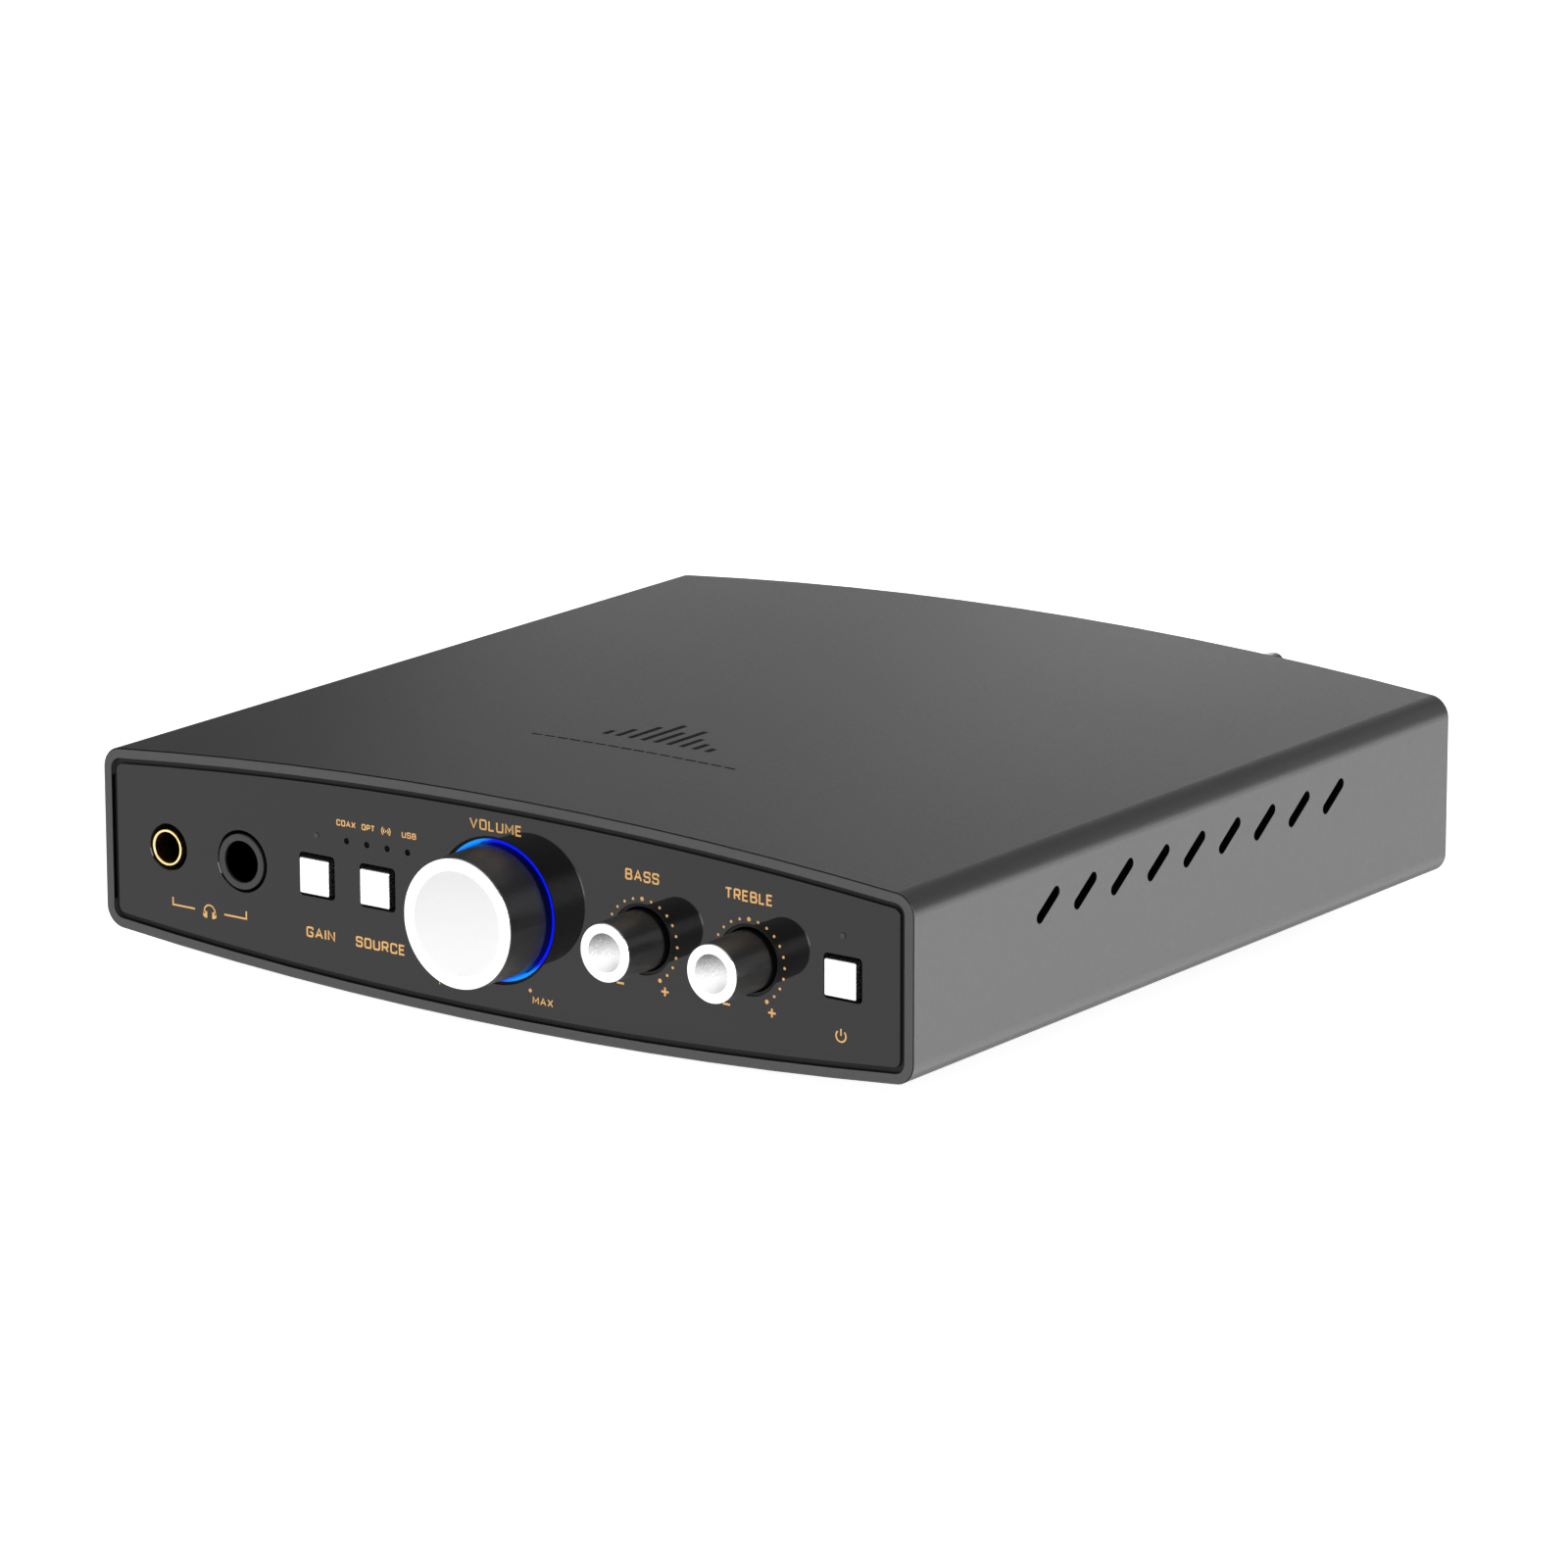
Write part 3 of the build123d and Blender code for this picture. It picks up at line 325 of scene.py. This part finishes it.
def bright_silver(name, dish_of=None, dish_r=0.0, lit=0.86, shade=0.85, shade_below=0.0):
    """Satin silver with a fine sparkling grain. The dish of a knob's cap, of radius dish_r in
    millimetres, carries painted shade: it runs from the grey lit to the grey shade; the painted
    shade starts at shade_below, in radii above the middle, and is done at the dish's top."""
    made = material(name, (0.86, 0.86, 0.865), metallic=1.0, roughness=0.26)
    grain = noise(made, 4.5, 2)
    shine = mix(made, grain, (0.85, 0.85, 0.855), (0.92, 0.92, 0.92))
    if dish_of:
        across, up, far = from_middle(made, dish_of)
        dish = remap(made, far, 1.0, 0.0, (dish_r * MM) ** 2, (dish_r * MM * 1.01) ** 2)
        # grain shifts the place where the painted shade ends, so that it breaks up into sparkles
        scatter = math_node(made, "MULTIPLY", remap(made, grain, -0.25, 0.25), dish_r * MM)
        height = math_node(made, "ADD", up, scatter)
        height = math_node(made, "SUBTRACT", height, math_node(made, "MULTIPLY", across, 0.3))
        dish_shade = mix(made, remap(made, height, 0.0, 1.0, shade_below * dish_r * MM, dish_r * MM),
                   (lit, lit, lit), (shade, shade, shade))
        vary(made, shine, dish_shade, dish)
        vary_roughness(made, remap(made, dish, 0.26, 0.55, 0.0, 1.0))
    else:
        vary(made, (0.85, 0.85, 0.855), (0.92, 0.92, 0.92), grain)
        vary_roughness(made, remap(made, noise(made, 2.0, 3), 0.22, 0.30))
    bump(made, noise(made, 5.0, 2), 0.004, 0.5)
    return made


def gold():
    made = material("gold", (0.95, 0.70, 0.30), metallic=1.0, roughness=0.2)
    vary_roughness(made, remap(made, noise(made, 3.0, 2), 0.15, 0.25))
    return made


def moulded(name, colour, roughness=0.5):
    """Moulded plastic: a faint mottle and a fine spark-eroded skin."""
    made = material(name, colour, roughness=roughness)
    lighter = tuple(min(1.0, c * 1.25 + 0.002) for c in colour)
    vary(made, colour, lighter, noise(made, 0.8, 3))
    vary_roughness(made, remap(made, noise(made, 1.5, 2), roughness - 0.05, roughness + 0.06))
    bump(made, noise(made, 4.0, 2), 0.012, 0.5)
    return made


def socket_black():
    """Moulded black, painted black and without gloss behind the front panel's face, as painted
    shade.
    """
    made = moulded("socket_black", (0.012, 0.012, 0.012), 0.4)
    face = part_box("front_panel")[0].y
    # painted shade: deeper than the panel's face the bores are painted black
    recess_shade = remap(made, along(made, "Y"), 0.0, 1.0, face, face + 0.5 * MM)
    vary(made, (0.014, 0.014, 0.014), (0.0, 0.0, 0.0), recess_shade)
    level = remap(made, recess_shade, 0.5, 0.0, 0.0, 1.0)
    made.node_tree.links.new(level, shader_of(made).inputs["Specular IOR Level"])
    return made


def machined(name, colour, roughness=0.3, metallic=1.0):
    made = material(name, colour, metallic=metallic, roughness=roughness)
    vary_roughness(made, remap(made, noise(made, 1.2, 3), roughness - 0.05, roughness + 0.08))
    bump(made, noise(made, 3.0, 2), 0.002, 0.25)
    return made


def lit_ring():
    """The light ring glows blue, with a cyan arc where each bright lamp sits behind it."""
    made = material("lit_ring", (0.0, 0.0, 0.1), roughness=0.35, Specular_IOR_Level=0.1)
    across, up, _ = from_middle(made, "light_ring")
    # the two lamps sit opposite each other, on a line that leans to the left of upright
    lean = math.radians(26)
    reach = math_node(made, "SUBTRACT", math_node(made, "MULTIPLY", up, math.cos(lean)),
                      math_node(made, "MULTIPLY", across, math.sin(lean)))
    radius = 13.2 * MM
    share = remap(made, math_node(made, "ABSOLUTE", reach, 0.0), 0.0, 1.0,
                  0.93 * radius, 0.99 * radius)
    colour = mix(made, share, (0.0, 0.008, 1.0), (0.0, 0.3, 1.0))
    shader = shader_of(made)
    made.node_tree.links.new(colour, shader.inputs["Emission Color"])
    shader.inputs["Emission Strength"].default_value = 1.1
    return made


def printed_gold():
    made = material("printed_gold", (0.66, 0.36, 0.11), roughness=0.5)
    vary(made, (0.63, 0.34, 0.10), (0.69, 0.38, 0.12), noise(made, 4.0, 2))
    return made


dress(blasted_metal(), "sleeve")
dress(panel_gloss(), "front_panel")
dress(knob_gloss(), "volume_knob", "bass_knob", "treble_knob")
dress(bright_silver("button_silver"), "gain_button", "source_button", "power_button")
# each cap's dish: its radius, and the greys and start of its painted shade
VOLUME_DISH = {"dish_r": 9.85, "lit": 0.8, "shade": 0.67, "shade_below": -0.8}
TONE_DISH = {"dish_r": 3.65, "lit": 0.86, "shade": 0.15, "shade_below": -0.3}
for node, dish in (("volume_knob_cap", VOLUME_DISH), ("bass_knob_cap", TONE_DISH),
                   ("treble_knob_cap", TONE_DISH)):
    dress(bright_silver(node + "_silver", node, **dish), node)
dress(gold(), "balanced_jack_ring", "antenna_socket", "antenna_socket_nut")
dress(lit_ring(), "light_ring")
black = moulded("black_plastic", (0.012, 0.012, 0.012), 0.45)
dress(socket_black(), "balanced_jack", "headphone_jack")
dress(black, "optical_socket", "dc_inlet", "phono_housings",
      "board_header", "button_switches", "gain_plunger", "source_plunger", "power_plunger",
      "usb_socket_tongue", "power_transistors", "capacitors", "board_chips", "power_inductors",
      "output_relays", "antenna_mast")
dress(machined("rear_metal", (0.05, 0.05, 0.052), 0.4), "rear_panel", "heat_sink")
dress(machined("black_steel", (0.1, 0.1, 0.105), 0.3), "rear_panel_screws", "front_panel_screws",
      "foot_screws")
dress(machined("dark_nickel", (0.42, 0.42, 0.43), 0.25), "antenna_collar", "antenna_elbow")
dress(moulded("foot_rubber", (0.02, 0.02, 0.02), 0.7), "feet")
dress(machined("bright_steel", (0.6, 0.6, 0.6), 0.25), "volume_shaft", "bass_shaft", "treble_shaft",
      "dc_inlet_pin", "antenna_pin", "volume_pot", "bass_pot", "treble_pot", "wireless_module",
      "usb_socket_shell", "phono_sleeves")
dress(moulded("board_green", (0.02, 0.08, 0.04), 0.4), "main_board", "front_board")
dress(moulded("smoked_window", (0.01, 0.01, 0.01), 0.15), "indicator_light_pipes")
dress(moulded("lamp_white", (0.8, 0.8, 0.76), 0.3), "board_leds")
dress(moulded("orange_plastic", (0.75, 0.22, 0.02), 0.35), "coax_insert")
dress(moulded("red_plastic", (0.55, 0.02, 0.02), 0.35), "line_out_right_insert")
dress(moulded("white_plastic", (0.8, 0.8, 0.78), 0.35), "line_out_left_insert")
dress(moulded("grey_jacket", (0.15, 0.15, 0.15), 0.5), "antenna_lead")

# ------------------------------------------------------------------ printed marks
# Everything printed on the panel is drawn with one kind of stroke. Letters are plain strokes on a
# cell one unit high; the corners listed as soft are rounded.
LETTERS = {
    "A": (0.86, [[(0, 0), (0.43, 1), (0.86, 0)], [(0.15, 0.32), (0.71, 0.32)]], False),
    "B": (0.74, [[(0, 0), (0, 1)], [(0, 1), (0.7, 1), (0.7, 0.53), (0, 0.53)],
                 [(0, 0.53), (0.74, 0.53), (0.74, 0), (0, 0)]], True),
    "C": (0.72, [[(0.72, 0.72), (0.72, 1), (0, 1), (0, 0), (0.72, 0), (0.72, 0.28)]], True),
    "E": (0.64, [[(0.64, 1), (0, 1), (0, 0), (0.64, 0)], [(0, 0.52), (0.56, 0.52)]], False),
    "G": (0.74, [[(0.74, 0.75), (0.74, 1), (0, 1), (0, 0), (0.74, 0), (0.74, 0.47), (0.4, 0.47)]],
          True),
    "I": (0.0, [[(0, 0), (0, 1)]], False),
    "L": (0.6, [[(0, 1), (0, 0), (0.6, 0)]], False),
    "M": (0.9, [[(0, 0), (0, 1), (0.45, 0.3), (0.9, 1), (0.9, 0)]], False),
    "N": (0.76, [[(0, 0), (0, 1), (0.76, 0), (0.76, 1)]], False),
    "O": (0.76, [[(0.38, 1), (0.76, 1), (0.76, 0), (0, 0), (0, 1), (0.38, 1)]], True),
    "P": (0.7, [[(0, 0), (0, 1)], [(0, 1), (0.7, 1), (0.7, 0.42), (0, 0.42)]], True),
    "R": (0.72, [[(0, 0), (0, 1)], [(0, 1), (0.7, 1), (0.7, 0.44), (0, 0.44)],
                 [(0.4, 0.44), (0.72, 0)]], True),
    "S": (0.72, [[(0.72, 0.75), (0.72, 1), (0, 1), (0, 0.52), (0.72, 0.52), (0.72, 0), (0, 0),
                  (0, 0.25)]], True),
    "T": (0.76, [[(0, 1), (0.76, 1)], [(0.38, 1), (0.38, 0)]], False),
    "U": (0.74, [[(0, 1), (0, 0), (0.74, 0), (0.74, 1)]], True),
    "V": (0.86, [[(0, 1), (0.43, 0), (0.86, 1)]], False),
    "X": (0.8, [[(0, 0), (0.8, 1)], [(0, 1), (0.8, 0)]], False),
}
LETTER_GAP = 0.42
PRINT_T = 0.03


def soften(points, reach):
    """The same line with each corner replaced by a short arc."""
    line = [points[0]]
    for before, corner, after in zip(points, points[1:], points[2:]):
        into = (Vector(before) - Vector(corner))
        out = (Vector(after) - Vector(corner))
        if abs(into.normalized().dot(out.normalized())) > 0.99:
            line.append(corner)
            continue
        cut = min(reach, into.length / 2, out.length / 2)
        start = Vector(corner) + into.normalized() * cut
        end = Vector(corner) + out.normalized() * cut
        for step in range(5):
            t = step / 4
            bend = 2 * t * (1 - t) * Vector(corner)
            line.append(tuple((1 - t) ** 2 * start + bend + t * t * end))
    line.append(points[-1])
    return line


class Print:
    """Collects strokes and dots, in millimetres on one plane, as thin raised solids."""

    def __init__(self, place):
        self.work = bmesh.new()
        self.place = place        # turns (across, up, out) in millimetres into a point in metres
        self.count = 0

    def prism(self, outline, lift):
        top = [self.work.verts.new(self.place(u, v, lift)) for u, v in outline]
        bottom = [self.work.verts.new(self.place(u, v, 0.0)) for u, v in outline]
        self.work.faces.new(top)
        self.work.faces.new(list(reversed(bottom)))
        for k in range(len(outline)):
            after = (k + 1) % len(outline)
            self.work.faces.new((top[k], bottom[k], bottom[after], top[after]))

    def stroke(self, points, width):
        """A ribbon along the points, mitred at its corners; crossing strokes differ in height."""
        lift = PRINT_T + 0.002 * (self.count % 3)
        self.count += 1
        spots = [Vector(p) for p in points]
        closed = (spots[0] - spots[-1]).length < 1e-6
        if closed:
            spots.pop()
        sides = []
        for k, spot in enumerate(spots):
            last = spots[k - 1] if closed or k else None
            nxt = spots[(k + 1) % len(spots)] if closed or k + 1 < len(spots) else None
            runs = []
            if last:
                runs.append((spot - last).normalized())
            if nxt:
                runs.append((nxt - spot).normalized())
            normals = [Vector((-d.y, d.x)) for d in runs]
            middle_line = sum(normals, Vector((0, 0))).normalized()
            reach = width / 2 / max(0.7, middle_line.dot(normals[0]))
            sides.append((spot + middle_line * reach, spot - middle_line * reach))
        rows = []
        for left, right in sides:
            rows.append([self.work.verts.new(self.place(*p, h))
                         for p, h in ((left, lift), (right, lift), (right, 0.0), (left, 0.0))])
        pairs = list(zip(rows, rows[1:])) + ([(rows[-1], rows[0])] if closed else [])
        for one, two in pairs:
            for k in range(4):
                j = (k + 1) % 4
                self.work.faces.new((one[k], one[j], two[j], two[k]))
        if not closed:
            self.work.faces.new(list(reversed(rows[0])))
            self.work.faces.new(rows[-1])

    def dot(self, u, v, diameter, sides=14):
        self.prism([(u + diameter / 2 * math.cos(2 * math.pi * k / sides),
                     v + diameter / 2 * math.sin(2 * math.pi * k / sides)) for k in range(sides)],
                   PRINT_T)

    def arc(self, u, v, radius, start, stop, width, steps=24):
        """An arc from start to stop, in degrees clockwise from twelve o'clock."""
        turns = [math.radians(start + (stop - start) * k / steps) for k in range(steps + 1)]
        self.stroke([(u + radius * math.sin(t), v + radius * math.cos(t)) for t in turns], width)

    def word(self, text, u, v, width, height, stroke):
        """A word centred on u, v whose outside is that wide and high."""
        total = sum(LETTERS[c][0] for c in text) + LETTER_GAP * (len(text) - 1)
        across = (width - stroke) / total
        tall = height - stroke
        pen = u - (width - stroke) / 2
        for letter in text:
            advance, lines, soft = LETTERS[letter]
            for line in lines:
                spots = [(pen + x * across, v + (y - 0.5) * tall) for x, y in line]
                self.stroke(soften(spots, 0.2 * tall) if soft else spots, stroke)
            pen += (advance + LETTER_GAP) * across

    def finish(self, name, made, body):
        bmesh.ops.recalc_face_normals(self.work, faces=self.work.faces)
        mesh = bpy.data.meshes.new(name)
        self.work.to_mesh(mesh)
        self.work.free()
        piece = bpy.data.objects.new(name, mesh)
        scene.collection.objects.link(piece)
        mesh.materials.append(made)
        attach(piece, body)
        return piece


PANEL_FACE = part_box("front_panel")[0].y
AXIS_Z = middle("volume_knob").z / MM
VOLUME_X = middle("volume_knob").x / MM
GAIN_X = middle("gain_button").x / MM
SOURCE_X = middle("source_button").x / MM
POWER_X = middle("power_button").x / MM
TONE_X = [middle("bass_knob").x / MM, middle("treble_knob").x / MM]


def on_panel(u, v, out):
    """Across, above the controls' axis and out of the panel's face."""
    return Vector((u * MM, PANEL_FACE - out * MM, (AXIS_Z + v) * MM))


panel_print = Print(on_panel)
STROKE = 0.36
panel_print.word("GAIN", GAIN_X + 0.65, -11.1, 6.9, 2.06, STROKE)
panel_print.word("SOURCE", SOURCE_X + 0.5, -11.1, 11.7, 2.06, STROKE)
panel_print.word("VOLUME", VOLUME_X + 0.35, 15.94, 12.1, 2.06, STROKE)
panel_print.word("BASS", TONE_X[0] + 0.05, 11.8, 7.65, 2.14, STROKE)
panel_print.word("TREBLE", TONE_X[1], 11.8, 10.6, 2.14, STROKE)
FINE = 0.24
SOURCE_WORD_Z = 11.17
panel_print.word("COAX", SOURCE_X - 7.3, SOURCE_WORD_Z, 4.55, 1.2, FINE)
panel_print.word("OPT", SOURCE_X - 2.0, SOURCE_WORD_Z, 3.1, 1.2, FINE)
panel_print.word("USB", SOURCE_X + 7.65, SOURCE_WORD_Z, 3.4, 1.2, FINE)
# the wireless input has a dot with two waves
panel_print.dot(SOURCE_X + 2.2, SOURCE_WORD_Z, 0.4)
for wave in (0.55, 1.0):
    panel_print.arc(SOURCE_X + 2.2, SOURCE_WORD_Z, wave, 45, 135, FINE, 8)
    panel_print.arc(SOURCE_X + 2.2, SOURCE_WORD_Z, wave, 225, 315, FINE, 8)

for side, text in ((-1, "MIN"), (1, "MAX")):
    panel_print.word(text, VOLUME_X + side * 10.93, -15.6, 4.74, 1.44, 0.25)
    turn = math.radians(side * 150)
    panel_print.dot(VOLUME_X + 16.05 * math.sin(turn), 16.05 * math.cos(turn), 0.75)
for x in TONE_X:
    for angle in range(-150, 151, 15):
        turn = math.radians(angle)
        panel_print.dot(x + 7.9 * math.sin(turn), 7.9 * math.cos(turn) - 0.3,
                        0.82 if angle in (-150, 0, 150) else 0.56)
    panel_print.stroke([(x - 5.85, -9.05), (x - 4.25, -9.05)], 0.4)
    panel_print.stroke([(x + 4.25, -9.05), (x + 5.9, -9.05)], 0.4)
    panel_print.stroke([(x + 5.07, -9.87), (x + 5.07, -8.23)], 0.4)

# the headphone sign between two brackets, under the two jacks
HEAD_X, HEAD_Z = -68.5, -11.1
panel_print.arc(HEAD_X, HEAD_Z - 0.05, 1.32, -112, 112, 0.28)
for side in (-1, 1):
    panel_print.prism([(HEAD_X + side * u, HEAD_Z + v) for u, v in
                       ((0.62, -1.3), (0.62, 0.0), (1.0, 0.02), (1.62, -0.35), (1.62, -1.0),
                        (1.0, -1.32))], PRINT_T)
BRACKET_Z = -11.07
panel_print.stroke([(-77.5, -9.6), (-77.5, BRACKET_Z), (-72.1, BRACKET_Z)], 0.34)
panel_print.stroke([(-59.5, -9.6), (-59.5, BRACKET_Z), (-64.9, BRACKET_Z)], 0.34)

# the power sign
POWER_SIGN_Z = -10.78
POWER_SIGN_X = POWER_X - 0.4
panel_print.arc(POWER_SIGN_X, POWER_SIGN_Z, 1.08, 42, 318, 0.3)
panel_print.stroke([(POWER_SIGN_X, POWER_SIGN_Z + 1.35),
                    (POWER_SIGN_X, POWER_SIGN_Z + 0.05)], 0.3)
panel_print.finish("panel_printing", printed_gold(), "chassis")


# A plain level-meter ornament on the top, which is bowed across its width.
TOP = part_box("sleeve")[1].z
HALF_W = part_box("sleeve")[1].x
TOP_RISE = 4.55 * MM
BOW_R = (TOP_RISE ** 2 + HALF_W ** 2) / (2 * TOP_RISE)


def on_top(u, v, out):
    """Across and back over the bowed top."""
    x = u * MM
    return Vector((x, v * MM, TOP - BOW_R + math.sqrt(BOW_R ** 2 - x ** 2) + out * MM))


def dark_inlay():
    made = material("dark_inlay", (0.006, 0.006, 0.006), roughness=0.6, Specular_IOR_Level=0.1)
    vary_roughness(made, remap(made, noise(made, 1.5, 2), 0.55, 0.65))
    return made


top_print = Print(on_top)
PITCH = 3.0
BAR_HEIGHTS = (3.0, 6.0, 10.0, 13.5, 9.0, 12.0, 7.0, 4.5, 2.5)
BARS_Y = -46.5
RULE_Y = -53.5
DASHES = 16
for k, tall in enumerate(BAR_HEIGHTS):
    across = (k - len(BAR_HEIGHTS) // 2) * PITCH
    top_print.stroke([(across, BARS_Y), (across, BARS_Y + tall)], 1.2)
for k in range(DASHES):
    dash = (k - DASHES / 2) * PITCH
    top_print.stroke([(dash + 0.3, RULE_Y), (dash + 2.7, RULE_Y)], 0.6)
top_print.finish("top_ornament", dark_inlay(), "chassis")

# ------------------------------------------------------------------ floor
floor_white = material("floor_white", (0.9, 0.9, 0.9), roughness=0.9)
vary(floor_white, (0.89, 0.89, 0.89), (0.91, 0.91, 0.91), noise(floor_white, 0.02, 2))
shader_of(floor_white).inputs["Emission Color"].default_value = (1, 1, 1, 1)
shader_of(floor_white).inputs["Emission Strength"].default_value = 0.88
floor.data.materials.append(floor_white)
